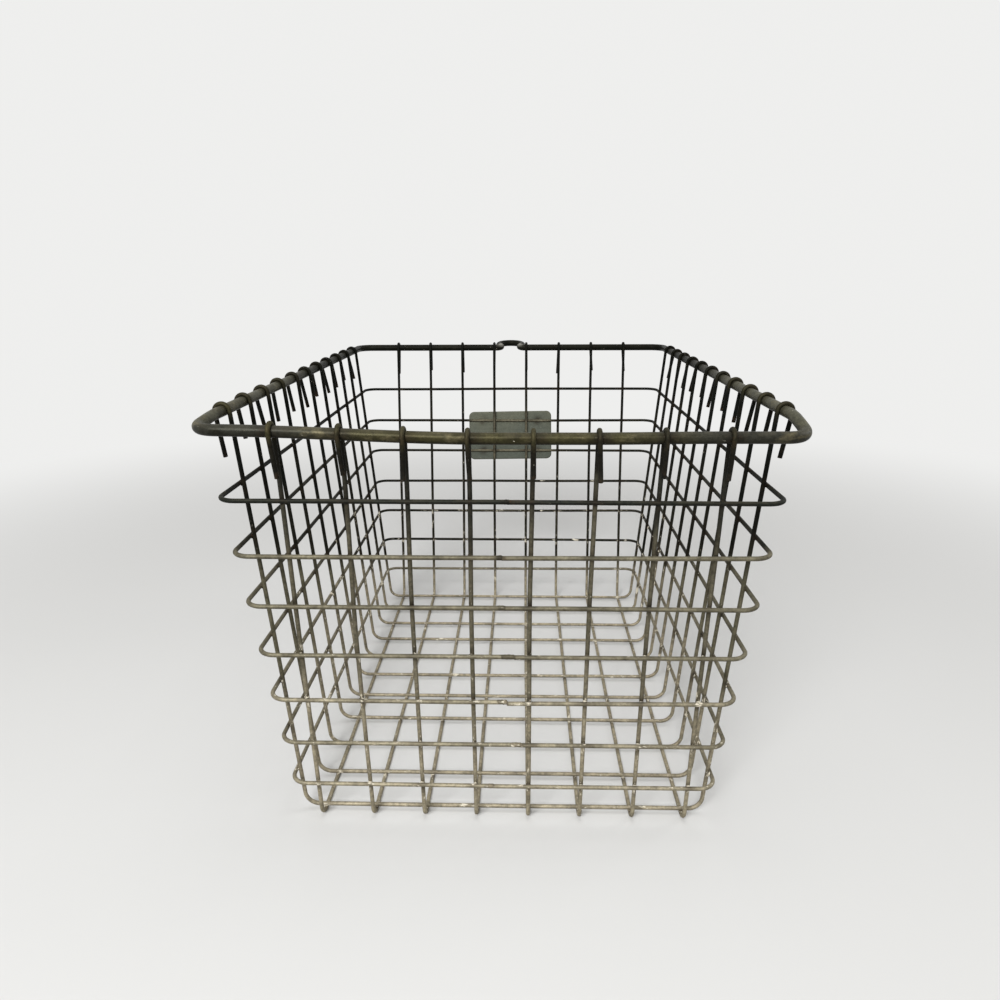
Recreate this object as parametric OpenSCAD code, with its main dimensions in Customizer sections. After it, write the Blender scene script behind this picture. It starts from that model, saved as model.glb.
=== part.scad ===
// Welded wire locker basket, seen from its plain front: X runs to the right, Y to the back
// and Z up. The origin is the middle of the floor, in the plane that the basket stands on.

/* [Rim] */
// Width between the centre lines of the rim's two sides
rim_w = 239; // [200:1:320]
// Depth between the centre lines of the rim's front and back
rim_depth = 320; // [250:1:420]
// Height of the rim's centre line above the shelf
rim_z = 202.5; // [180:0.5:300]
// Diameter of the rim's wire
rim_d = 4.8; // [3.5:0.1:7]
// Bend radius of the rim's four corners, at the wire's centre
rim_corner_r = 10; // [6:0.5:20]

/* [Padlock eye] */
// Radius of the eye's round part, at the wire's centre
eye_r = 9.3; // [8.5:0.1:12]
// Clear gap between the wires at the eye's neck
eye_neck = 10; // [8:0.1:11]
// Bend radius where the rim turns out into the eye, at the wire's centre
eye_bend_r = 4.2; // [3.6:0.1:4.4]
// Angle by which the eye rises above the plane of the rim
eye_tilt = 5; // [0:1:15]

/* [Wires] */
// Diameter of the thin wires
wire_d = 2; // [1.5:0.1:2.8]
// Spacing of the thin wires in the floor, both ways
mesh = 25.4; // [24:0.1:28]
// Depth to which two crossing wires are welded into each other
weld_depth = 0.2; // [0.1:0.05:0.4]
// Bend radius at the foot of each wall, at the wire's centre
foot_bend_r = 7; // [4:0.5:7.5]
// Distance from the outermost long wire out to the corner of the side wall's foot
side_foot_gap = 9.6; // [8:0.1:14]
// Distance from the outermost cross wire out to the corner of the end wall's foot
end_foot_gap = 6.8; // [6.5:0.1:12]

/* [Hooks] */
// Drop of a hook's tail below the rim's centre line
tail_drop = 19; // [12:0.5:24]
// Amount by which the drops of the tails differ
tail_vary = 1.4; // [0:0.1:2]
// Inward lean of a hook's tail
tail_lean = 9; // [5:0.5:12]
// Amount by which the leans of the tails differ
lean_vary = 1.5; // [0:0.1:2]

/* [Girth rings] */
// Height of the lowest ring's centre line above the shelf
low_ring_z = 23.3; // [18:0.5:30]
// Rise from one ring to the next
ring_rise = 24.5; // [22:0.1:26]
// Bend radius of a ring's corners, at the wire's centre
ring_corner_r = 8; // [5:0.5:9]

/* [Number plate] */
// Width of the plate
plate_w = 66; // [45:0.5:90]
// Height of the plate
plate_h = 38.5; // [30:0.5:45]
// Thickness of the plate's sheet metal
plate_t = 1; // [0.6:0.1:2]
// Radius of the plate's corners
plate_corner_r = 4; // [1:0.5:8]

/* [Hidden] */
long_wires = 8;
cross_wires = 11;
rings = 7;
rim_colour = [0.21, 0.20, 0.16];
wire_colour = [0.36, 0.35, 0.31];
plate_colour = [0.27, 0.27, 0.24];
// Facets on a bend's path and on a wire's section, for quick views only
bend_facets = 72;
wire_facets = 24;

// Where a bend meets the next stretch the two stop this far short of each other, and a sleeve
// a hair wider than the wire reaches this far over both
joint_gap = 0.05;
sleeve_reach = 0.2;
sleeve_swell = 0.03;

// Distance between the centres of two thin wires that are welded across each other
weld_pitch = wire_d - weld_depth;
// Radius on which a hook goes round the rim, at the wire's centre
hook_r = (rim_d + wire_d) / 2 - weld_depth;
// Centre heights of the floor's lower and upper layers of wire
low_floor_z = wire_d / 2;
high_floor_z = low_floor_z + weld_pitch;

// Wall is the number that picks a pair of walls: the sides, or the front and back
side_walls = 0;
end_walls = 1;
function rim_half(wall) = (wall == side_walls ? rim_w : rim_depth) / 2;
function wires_half(wall) = ((wall == side_walls ? long_wires : cross_wires) - 1) / 2 * mesh;
function foot_gap(wall) = wall == side_walls ? side_foot_gap : end_foot_gap;
function floor_half(wall) = wires_half(wall) + foot_gap(wall);
function floor_z(wall) = wall == side_walls ? high_floor_z : low_floor_z;
// Straight way from the corner at a wall's foot to the rim's centre
function foot_to_rim(wall) = [rim_half(wall) - floor_half(wall), rim_z - floor_z(wall)];

// Angle of a wall's wires above the horizontal: they leave the foot and touch the hook's circle
function wall_angle(wall) =
    let (way = foot_to_rim(wall))
    atan2(way.y, way.x) + asin(hook_r / norm(way));

// Distance from the middle to the centre of a wall's wires, at a height
function wall_at(wall, z) = floor_half(wall) + (z - floor_z(wall)) / tan(wall_angle(wall));

function ring_z(number) = low_ring_z + (rings - number) * ring_rise;
function ring_half(wall, z) = wall_at(wall, z) + weld_pitch / sin(wall_angle(wall));

// Hand bending leaves each hook's tail a little longer or shorter and more or less leaning
function spread(number) = sin(number * 137.5);
function drop_of(number) = tail_drop + tail_vary * spread(number);
function lean_of(number) = tail_lean + lean_vary * spread(number + 3);

// Part of a ring of wire round the origin, from one angle to another
module wire_arc(bend_r, from, to, thick) {
    rotate([0, 0, from])
        rotate_extrude(angle = to - from, $fn = bend_facets)
            translate([bend_r, 0])
                circle(d = thick, $fn = wire_facets);
}

// A bend round the origin, with a short sleeve over each end where the next stretch joins it
module sleeved_bend(bend_r, from, to, thick) {
    gap = joint_gap / bend_r * 180 / PI;
    reach = sleeve_reach / bend_r * 180 / PI;
    wire_arc(bend_r, from + gap, to - gap, thick);
    for (end = [from, to])
        wire_arc(bend_r, end - reach, end + reach, thick + sleeve_swell);
}

// A wire laid in a plane, stretch by stretch, from the origin along X. Each stretch is its
// length, the bend that follows it (positive to the left) and that bend's radius.
module laid_wire(stretches, thick, first = 0) {
    length = stretches[first][0];
    turn = stretches[first][1];
    bend_r = stretches[first][2];
    start = first > 0 ? joint_gap : 0;
    end = turn != 0 ? length - joint_gap : length;
    translate([start, 0, 0])
        rotate([0, 90, 0])
            cylinder(d = thick, h = end - start, $fn = wire_facets);
    if (turn != 0)
        mirror([0, turn < 0 ? 1 : 0, 0])
            translate([length, bend_r, 0]) {
                sleeved_bend(bend_r, -90, abs(turn) - 90, thick);
                if (first + 1 < len(stretches))
                    rotate([0, 0, abs(turn)])
                        translate([0, -bend_r, 0])
                            mirror([0, turn < 0 ? 1 : 0, 0])
                                laid_wire(stretches, thick, first + 1);
            }
}

// What is drawn for the right half, and the same again for the left half
module both_halves() {
    children();
    mirror([1, 0, 0])
        children();
}

// Half a floor wire, from the middle of the floor up one wall and over the rim
module hooked_half(wall, number) {
    angle = wall_angle(wall);
    lean = lean_of(number);
    foot_cut = foot_bend_r * tan(angle / 2);
    way = foot_to_rim(wall);
    leg = sqrt(way * way - hook_r * hook_r) - foot_cut;
    tail = (drop_of(number) - hook_r * sin(lean)) / cos(lean);
    translate([0, floor_z(wall), 0])
        laid_wire(
            [
                [floor_half(wall) - foot_cut, angle, foot_bend_r],
                [leg, -(angle + 90 + lean), hook_r],
                [tail, 0, 0],
            ],
            wire_d
        );
}

// A wire that hooks over the rim, goes down a wall, across the floor and up to the far rim
module hooked_wire(wall, number) {
    color(wire_colour) {
        hooked_half(wall, number + 5);
        mirror([1, 0, 0])
            hooked_half(wall, number);
    }
}

module long_wire(number) {
    translate([(number - (long_wires + 1) / 2) * mesh, 0, 0])
        rotate([90, 0, 90])
            hooked_wire(end_walls, number);
}

module cross_wire(number) {
    translate([0, (number - (cross_wires + 1) / 2) * mesh, 0])
        rotate([90, 0, 0])
            hooked_wire(side_walls, number);
}

// Half of a rectangle of wire with rounded corners, less half of a gap in its back
module half_loop(half_w, half_depth, corner_r, half_gap, thick) {
    translate([0, -half_depth, 0])
        laid_wire(
            [
                [half_w - corner_r, 90, corner_r],
                [2 * (half_depth - corner_r), 90, corner_r],
                [half_w - corner_r - half_gap, 0, 0],
            ],
            thick
        );
}

// A ring round the outside of the walls, counted from the top
module ring(number) {
    z = ring_z(number);
    color(wire_colour)
        translate([0, 0, z])
            both_halves()
                half_loop(
                    ring_half(side_walls, z), ring_half(end_walls, z), ring_corner_r, 0, wire_d
                );
}

// Half the width of the stretch that the eye takes out of the rim's back
eye_half = (eye_neck + rim_d) / 2 + eye_bend_r;
// Angle by which the eye goes on past half a circle, at each end
eye_close = acos(eye_half / (eye_r + eye_bend_r));
// Distance from the rim's centre line to the eye's centre
eye_out = eye_bend_r + eye_half * tan(eye_close);

// The eye: two small bends lead out of the rim into most of a circle
module padlock_eye() {
    gap = joint_gap / eye_r * 180 / PI;
    both_halves()
        translate([-eye_half, eye_bend_r, 0])
            sleeved_bend(eye_bend_r, -90, eye_close, rim_d);
    translate([0, eye_out, 0])
        wire_arc(eye_r, gap - eye_close, 180 + eye_close - gap, rim_d);
}

module rim() {
    color(rim_colour)
        translate([0, 0, rim_z]) {
            both_halves()
                half_loop(
                    rim_half(side_walls), rim_half(end_walls), rim_corner_r, eye_half, rim_d
                );
            translate([0, rim_half(end_walls), 0])
                rotate([eye_tilt, 0, 0])
                    padlock_eye();
        }
}

// The plate lies on the outside of rings 2 and 3, parallel to the leaning back wall
module number_plate() {
    z = (ring_z(2) + ring_z(3)) / 2;
    corner_x = plate_w / 2 - plate_corner_r;
    corner_z = plate_h / 2 - plate_corner_r;
    color(plate_colour)
        translate([0, ring_half(end_walls, z), z])
            rotate([wall_angle(end_walls) - 90, 0, 0])
                translate([0, wire_d / 2 - weld_depth + plate_t, 0])
                    rotate([90, 0, 0])
                        linear_extrude(height = plate_t)
                            union() {
                                square([plate_w, 2 * corner_z], center = true);
                                square([2 * corner_x, plate_h], center = true);
                                for (x = [-corner_x, corner_x], y = [-corner_z, corner_z])
                                    translate([x, y])
                                        circle(r = plate_corner_r, $fn = bend_facets);
                            }
}

rim();
for (i = [1:long_wires])
    long_wire(i);
for (i = [1:cross_wires])
    cross_wire(i);
for (i = [1:rings])
    ring(i);
number_plate();
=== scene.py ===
import math

import bpy
import numpy as np
from mathutils import Matrix, Vector


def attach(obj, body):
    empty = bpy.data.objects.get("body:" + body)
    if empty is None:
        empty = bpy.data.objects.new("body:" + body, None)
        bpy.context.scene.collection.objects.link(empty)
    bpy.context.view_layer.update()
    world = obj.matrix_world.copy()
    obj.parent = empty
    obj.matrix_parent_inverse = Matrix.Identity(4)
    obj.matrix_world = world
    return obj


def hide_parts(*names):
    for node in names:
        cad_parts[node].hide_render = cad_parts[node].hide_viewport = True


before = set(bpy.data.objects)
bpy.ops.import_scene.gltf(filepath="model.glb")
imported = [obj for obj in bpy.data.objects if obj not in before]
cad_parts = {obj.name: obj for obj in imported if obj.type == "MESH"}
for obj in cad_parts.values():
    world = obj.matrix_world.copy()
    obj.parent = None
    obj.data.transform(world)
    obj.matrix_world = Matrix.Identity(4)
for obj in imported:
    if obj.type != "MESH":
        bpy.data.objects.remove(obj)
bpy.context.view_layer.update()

# Sizes repeated from the part's source, in metres and degrees. Wall 0 is the sides, wall 1 the
# front and back.
SIDES, ENDS = 0, 1
RIM_HALF = (0.1195, 0.160)
RIM_Z = 0.2025
RIM_D = 0.0048
RIM_CORNER_R = 0.010
EYE_R = 0.0093
EYE_NECK = 0.010
EYE_BEND_R = 0.0042
EYE_TILT = 5
WIRE_D = 0.002
MESH = 0.0254
WELD_DEPTH = 0.0002
FOOT_BEND_R = 0.007
FOOT_GAP = (0.0096, 0.0068)
TAIL_DROP = 0.019
TAIL_VARY = 0.0014
TAIL_LEAN = 9
LEAN_VARY = 1.5
SPREAD_TURN = 137.5
LOW_RING_Z = 0.0233
RING_RISE = 0.0245
RING_CORNER_R = 0.008
PLATE_W = 0.066
PLATE_H = 0.0385
PLATE_T = 0.001
PLATE_CORNER_R = 0.004
LONG_WIRES = 8
CROSS_WIRES = 11
RINGS = 7

# Derived in the same way as in the part's source
WELD_PITCH = WIRE_D - WELD_DEPTH
HOOK_R = (RIM_D + WIRE_D) / 2 - WELD_DEPTH
FLOOR_Z = (WIRE_D / 2 + WELD_PITCH, WIRE_D / 2)
WIRES_HALF = ((LONG_WIRES - 1) / 2 * MESH, (CROSS_WIRES - 1) / 2 * MESH)
FLOOR_HALF = tuple(WIRES_HALF[w] + FOOT_GAP[w] for w in (SIDES, ENDS))
long_x = [(i - (LONG_WIRES + 1) / 2) * MESH for i in range(1, LONG_WIRES + 1)]
cross_y = [(j - (CROSS_WIRES + 1) / 2) * MESH for j in range(1, CROSS_WIRES + 1)]


def foot_to_rim(wall):
    return RIM_HALF[wall] - FLOOR_HALF[wall], RIM_Z - FLOOR_Z[wall]


def wall_angle(wall):
    run, rise = foot_to_rim(wall)
    return math.atan2(rise, run) + math.asin(HOOK_R / math.hypot(run, rise))


def wall_at(wall, z):
    return FLOOR_HALF[wall] + (z - FLOOR_Z[wall]) / math.tan(wall_angle(wall))


def ring_z(number):
    return LOW_RING_Z + (RINGS - number) * RING_RISE


def ring_half(wall, z):
    return wall_at(wall, z) + WELD_PITCH / math.sin(wall_angle(wall))


def spread(number):
    return math.sin(math.radians(number * SPREAD_TURN))


PLATE_Z = (ring_z(2) + ring_z(3)) / 2

# Length and turn from one point along a wire to the next
STRAIGHT_STEP = 0.005
BEND_STEP = math.radians(8)
# The waves that a wander is made of: how many times finer than the first, and their shares
WANDER_WAVES = ((1.0, 0.6), (2.3, 0.3), (5.1, 0.1))


def laid(stretches, start=(0.0, 0.0)):
    """Points along a wire laid in a plane, starting along X. Each stretch is its length, the
    turn after it in radians (positive to the left) and the bend's radius."""
    heading = 0.0
    points = [np.array(start, float)]
    for length, turn, bend_r in stretches:
        ahead = np.array([math.cos(heading), math.sin(heading)])
        steps = max(1, round(length / STRAIGHT_STEP))
        base = points[-1]
        points += [base + ahead * length * (i + 1) / steps for i in range(steps)]
        if turn:
            side = math.copysign(1, turn)
            left = np.array([-ahead[1], ahead[0]]) * side
            centre = points[-1] + left * bend_r
            steps = max(2, math.ceil(abs(turn) / BEND_STEP))
            for i in range(steps):
                a = abs(turn) * (i + 1) / steps
                points.append(centre - left * bend_r * math.cos(a) + ahead * bend_r * math.sin(a))
            heading += turn
    return points


def wobble(rng, s, size, wavelength):
    """A smooth random wander along a wire, no larger than size."""
    total = np.zeros_like(s)
    for octave, share in WANDER_WAVES:
        phase = rng.uniform(0, 2 * math.pi)
        total += share * np.sin(2 * math.pi * octave * s / wavelength + phase)
    return size * total


def run_of(points):
    """How far along its path each point is."""
    gaps = np.linalg.norm(np.diff(points, axis=0), axis=1)
    return np.concatenate([[0.0], np.cumsum(gaps)])


def hooked_half(wall, number):
    """Half a floor wire in its own plane, and the length of its tail: outward from the middle of
    the floor, up the wall and over the rim."""
    angle = wall_angle(wall)
    lean = math.radians(TAIL_LEAN + LEAN_VARY * spread(number + 3))
    drop = TAIL_DROP + TAIL_VARY * spread(number)
    foot_cut = FOOT_BEND_R * math.tan(angle / 2)
    run, rise = foot_to_rim(wall)
    leg = math.sqrt(run * run + rise * rise - HOOK_R * HOOK_R) - foot_cut
    tail = (drop - HOOK_R * math.sin(lean)) / math.cos(lean)
    return laid(
        [
            (FLOOR_HALF[wall] - foot_cut, angle, FOOT_BEND_R),
            (leg, -(angle + math.pi / 2 + lean), HOOK_R),
            (tail, 0, 0),
        ],
        start=(0.0, FLOOR_Z[wall]),
    ), tail


# The old rim's front has been pushed down, more to the right, and the hooks there go with it.
# The sag's share at the left end, where and over what length it grows to the whole, and what it
# loses again to the right, and where.
FRONT_SAG = 0.0049
SAG_REACH = 0.026
SAG_LEFT_SHARE = 0.33
SAG_GROWS_AT, SAG_GROWS_OVER = -0.118, 0.115
SAG_LOSS, SAG_LOSS_AT, SAG_LOSS_OVER = 0.10, 0.03, 0.06
# How far each front hook sits to the right of its wire's place in the floor, left to right
FRONT_DRIFT = (0.0008, 0.0018, 0.00135, 0.00105, 0.00085, 0.0005, 0.00075, 0.00035)
DRIFT_FROM, DRIFT_TO = 0.10, 0.20
# Most sideways splay of a hook's tail in degrees, and the front hooks' own, where it can be seen
TAIL_SPLAY = 4.5
FRONT_SPLAY = {5: 0.9, 6: 3.6}
# How far a floor wire wanders aside and up or down, and over what length
ASIDE_WANDER, ASIDE_WAVE = 0.00022, 0.33
UP_WANDER, UP_WAVE = 0.00005, 0.21


def ease(share):
    share = np.clip(share, 0, 1)
    return share * share * (3 - 2 * share)


def front_sag(x, y):
    """How far the rim has been pushed down at a place."""
    x, y = np.asarray(x), np.asarray(y)
    across = SAG_LEFT_SHARE + (1 - SAG_LEFT_SHARE) * ease((x - SAG_GROWS_AT) / SAG_GROWS_OVER)
    across = across - SAG_LOSS * ease((x - SAG_LOSS_AT) / SAG_LOSS_OVER)
    near = ease((SAG_REACH - RIM_HALF[ENDS] - y) / SAG_REACH)
    return FRONT_SAG * across * near


def front_drift(number, y, z):
    """How far a long wire has drifted aside at a place on the front wall."""
    up = ease((np.asarray(z) - DRIFT_FROM) / (DRIFT_TO - DRIFT_FROM))
    return FRONT_DRIFT[number - 1] * up * (np.asarray(y) < 0)


def hooked_wire(wall, number, place, rng):
    """The whole wire as 3D points, with a little of the unevenness of hand work to the side."""
    far, far_tail = hooked_half(wall, number + 5)
    near, near_tail = hooked_half(wall, number)
    flat = np.array([(-p[0], p[1]) for p in reversed(near[1:])] + far)
    s = run_of(flat)
    aside = wobble(rng, s, ASIDE_WANDER, ASIDE_WAVE)
    lift = wobble(rng, s, UP_WANDER, UP_WAVE)
    splays = [rng.uniform(-TAIL_SPLAY, TAIL_SPLAY), rng.uniform(-TAIL_SPLAY, TAIL_SPLAY)]
    if wall == ENDS:
        splays[0] = FRONT_SPLAY.get(number, splays[0])
    aside += np.clip(near_tail - s, 0, None) * math.tan(math.radians(splays[0]))
    aside += np.clip(s - (s[-1] - far_tail), 0, None) * math.tan(math.radians(splays[1]))
    across = place + aside
    along, up = flat[:, 0], flat[:, 1] + lift
    if wall == ENDS:
        bent = ease((up - ring_z(1)) / (RIM_Z - RIM_D - ring_z(1))) * (along < 0)
        across = across + front_drift(number, along, up)
        up = up - front_sag(place, -RIM_HALF[ENDS]) * bent
        return np.stack([across, along, up], 1)
    return np.stack([along, across, up], 1)


# The chamfer of a wire's sheared ends, as a share of its radius, and how far rust creeps from them
CHAMFER = 0.12
CUT_REACH = 0.0011
# How a wire's map is laid out, as shares of the picture or of one of its rows
ROW_ASPECT = 1.25
ROW_SPARE = 1.04
ROW_WIDTH, ROW_MARGIN = 0.96, 0.02
ROW_HEIGHT, ROW_FOOT = 0.8, 0.06
END_AT, END_APART = (0.008, 0.93), 0.984
END_SIZE = (0.006, 0.03)
# How uneven a lump of weld metal is, twice and three times round it
LUMP_WAVES = (0.10, 0.07)


def mesh_of(name, verts, faces):
    mesh = bpy.data.meshes.new(name)
    mesh.from_pydata([tuple(v) for v in verts], [], faces)
    return mesh


def points_of(mesh):
    points = np.zeros(len(mesh.vertices) * 3)
    mesh.vertices.foreach_get("co", points)
    return points.reshape(-1, 3)


def skin(loops, around, closed=False):
    """Faces over a row of loops of points. Both ends are capped unless the row is closed."""
    faces = []
    for i in range(loops if closed else loops - 1):
        a, b = i * around, (i + 1) % loops * around
        for k in range(around):
            m = (k + 1) % around
            faces.append((a + k, a + m, b + m, b + k))
    if not closed:
        faces.append(tuple(range(around - 1, -1, -1)))
        faces.append(tuple((loops - 1) * around + k for k in range(around)))
    return faces


def tube(name, path, radius, sides, closed, normal, cut_tilt=0.0):
    """A wire along a path of 3D points, with sheared ends, and where on it each point is: its
    place on the wire pulled straight, and how near it is to a cut end."""
    path = np.asarray(path, float)
    count = len(path)
    if closed:
        tangent = np.roll(path, -1, 0) - np.roll(path, 1, 0)
        gaps = np.linalg.norm(np.roll(path, -1, 0) - path, axis=1)
        s = np.concatenate([[0.0], np.cumsum(gaps)[:-1]])
        length = gaps.sum()
    else:
        tangent = np.gradient(path, axis=0)
        s = run_of(path)
        length = s[-1]
    tangent /= np.linalg.norm(tangent, axis=1)[:, None]
    normal = np.asarray(normal, float)
    first = normal - tangent * (tangent @ normal)[:, None]
    first /= np.linalg.norm(first, axis=1)[:, None]
    second = np.cross(tangent, first)
    radii = np.full(count, radius)
    if not closed:
        # The ends are sheared: a slightly tilted flat face inside a small chamfer
        bevel = CHAMFER * radius
        path = np.concatenate([[path[0]], [path[0] + tangent[0] * bevel], path[1:-1],
                               [path[-1] - tangent[-1] * bevel], [path[-1]]])
        tangent = np.concatenate([[tangent[0]], tangent, [tangent[-1]]])
        first = np.concatenate([[first[0]], first, [first[-1]]])
        second = np.concatenate([[second[0]], second, [second[-1]]])
        radii = np.concatenate([[radii[0] - bevel], radii, [radii[-1] - bevel]])
        s = np.concatenate([[0.0], [bevel], s[1:-1], [length - bevel], [length]])
        count += 2
    turn = np.arange(sides) * 2 * math.pi / sides
    ring = np.cos(turn)[None, :, None] * first[:, None, :]
    ring = ring + np.sin(turn)[None, :, None] * second[:, None, :]
    verts = path[:, None, :] + ring * radii[:, None, None]
    if not closed and cut_tilt:
        slope = math.tan(cut_tilt)
        for at in (0, count - 1):
            verts[at] += tangent[at] * (np.cos(turn) * radii[at] * slope)[:, None]
    verts = verts.reshape(-1, 3)
    straight = np.stack([
        np.repeat(s, sides),
        np.tile(np.cos(turn), count) * radius,
        np.tile(np.sin(turn), count) * radius,
    ], 1)
    cut = np.zeros(len(verts))
    if not closed:
        cut = np.exp(-np.repeat(np.minimum(s, length - s), sides) / CUT_REACH)
    mesh = mesh_of(name, verts, skin(count, sides, closed))
    add_map(mesh, s, length, sides, radius, closed, count)
    return mesh, straight, cut


def add_map(mesh, s, length, sides, radius, closed, count):
    """Unrolls the wire and lays it out in rows, so that a picture of its finish has room for it."""
    girth = 2 * math.pi * radius
    rows = max(1, round(math.sqrt(length / (girth * ROW_ASPECT))))
    row_length = length / rows * ROW_SPARE
    pitch = 1 / rows
    uv = mesh.uv_layers.new(name="OFBake")
    flat = np.zeros(len(mesh.loops) * 2)
    loop = 0
    for i in range(count if closed else count - 1):
        s0 = s[i]
        s1 = s[i + 1] if i + 1 < count else length
        row = min(rows - 1, int((s0 + s1) / 2 / length * rows))
        u0 = (s0 - row * length / rows) / row_length * ROW_WIDTH + ROW_MARGIN
        u1 = (s1 - row * length / rows) / row_length * ROW_WIDTH + ROW_MARGIN
        for k in range(sides):
            v0 = (row + ROW_FOOT + ROW_HEIGHT * k / sides) * pitch
            v1 = (row + ROW_FOOT + ROW_HEIGHT * (k + 1) / sides) * pitch
            flat[loop * 2:loop * 2 + 8] = (u0, v0, u0, v1, u1, v1, u1, v0)
            loop += 4
    if not closed:
        for end in (0, 1):
            for k in range(sides):
                a = 2 * math.pi * k / sides
                flat[loop * 2] = END_AT[0] + END_SIZE[0] * math.cos(a) + END_APART * end
                flat[loop * 2 + 1] = (END_AT[1] + END_SIZE[1] * math.sin(a)) * pitch
                loop += 1
    uv.data.foreach_set("uv", flat)


def lump_mesh(rng, lumps, around=10, levels=5):
    """Beads of weld metal in one mesh. Each lump is its centre, its axis, its half width and its
    half thickness."""
    verts, faces = [], []
    for centre, axis, half_width, half_thick in lumps:
        axis = Vector(axis).normalized()
        other = axis.orthogonal().normalized()
        third = axis.cross(other)
        base = len(verts)
        wave = rng.uniform(0, 2 * math.pi, 3)
        for level in range(1, levels):
            up = math.cos(math.pi * level / levels)
            out = math.sin(math.pi * level / levels)
            for k in range(around):
                a = 2 * math.pi * k / around
                rough = 1 + LUMP_WAVES[0] * math.sin(2 * a + wave[0])
                rough += LUMP_WAVES[1] * math.sin(3 * a + wave[1] + up)
                side = (other * math.cos(a) + third * math.sin(a)) * out * half_width * rough
                verts.append(Vector(centre) + side + axis * up * half_thick)
        top, bottom = len(verts), len(verts) + 1
        verts.append(Vector(centre) + axis * half_thick)
        verts.append(Vector(centre) - axis * half_thick)
        for level in range(levels - 2):
            for k in range(around):
                m = (k + 1) % around
                a, b = base + level * around, base + (level + 1) * around
                faces.append((a + k, b + k, b + m, a + m))
        for k in range(around):
            m = (k + 1) % around
            faces.append((top, base + k, base + m))
            last = base + (levels - 2) * around
            faces.append((bottom, last + m, last + k))
    return verts, faces


def write(mesh, name, values, kind="FLOAT"):
    attribute = mesh.attributes.new(name, kind, "POINT")
    key = "vector" if kind == "FLOAT_VECTOR" else "value"
    attribute.data.foreach_set(key, np.asarray(values, np.float32).ravel())


def write_marks(mesh, straight, **marks):
    """Writes what the finishes read. A mark is one number or one for each point, or else 0."""
    write(mesh, "straight", straight, "FLOAT_VECTOR")
    for name in ("cut", "grime", "weld", "dull", "tone"):
        write(mesh, name, np.zeros(len(mesh.vertices)) + marks.get(name, 0))


def add_piece(name, mesh, material, node=None):
    piece = bpy.data.objects.new(name, mesh)
    bpy.context.scene.collection.objects.link(piece)
    mesh.polygons.foreach_set("use_smooth", [len(p.vertices) <= 4 for p in mesh.polygons])
    mesh.materials.append(material)
    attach(piece, "root")
    if node:
        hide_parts(node)


# How far a weld's heat reaches and how it fades, worked out for so many points at a time
HOT_R, HEAT_FADE = 0.0012, 0.0016
HEAT_BATCH = 4000


def wall_weld(wall, side, place, out, z):
    """A weld on one of a pair of walls: its centre and its axis, square to the wall."""
    flat = side * math.sin(wall_angle(wall))
    down = -math.cos(wall_angle(wall))
    if wall == ENDS:
        return (place, side * out, z), (0, flat, down)
    return (side * out, place, z), (flat, 0, down)


WALLS = ((ENDS, long_x), (SIDES, cross_y))
floor_weld_z = (FLOOR_Z[SIDES] + FLOOR_Z[ENDS]) / 2
welds = {"floor": [((x, y, floor_weld_z), (0, 0, 1)) for x in long_x for y in cross_y], "rim": []}
for number in range(1, RINGS + 1):
    z = ring_z(number)
    found = []
    for wall, places in WALLS:
        out = (wall_at(wall, z) + ring_half(wall, z)) / 2
        for side in (-1, 1):
            for wire, place in enumerate(places, 1):
                if wall == ENDS:
                    place += float(front_drift(wire, side * out, z))
                found.append(wall_weld(wall, side, place, out, z))
    welds["ring_%d" % number] = found
for wall, places in WALLS:
    out = RIM_HALF[wall] + math.sin(wall_angle(wall)) * RIM_D / 2
    for side in (-1, 1):
        for wire, place in enumerate(places, 1):
            z = RIM_Z - math.cos(wall_angle(wall)) * RIM_D / 2
            if wall == ENDS:
                z -= float(front_sag(place, side * RIM_HALF[ENDS]))
                place += float(front_drift(wire, side * out, RIM_Z))
            welds["rim"].append(wall_weld(wall, side, place, out, z))

all_welds = np.array([w[0] for group in welds.values() for w in group])


def heat(points):
    """How near each point is to a weld, from 1 at its edge to 0."""
    nearest = np.ones(len(points))
    for start in range(0, len(points), HEAT_BATCH):
        part = points[start:start + HEAT_BATCH]
        gaps = np.linalg.norm(part[:, None, :] - all_welds[None, :, :], axis=2)
        nearest[start:start + HEAT_BATCH] = gaps.min(1)
    return np.exp(-np.clip(nearest - HOT_R, 0, None) / HEAT_FADE)


# The colour sockets of a Mix node
MIX_SHARE, MIX_FIRST, MIX_SECOND, MIX_RESULT = 0, 6, 7, 2


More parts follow.
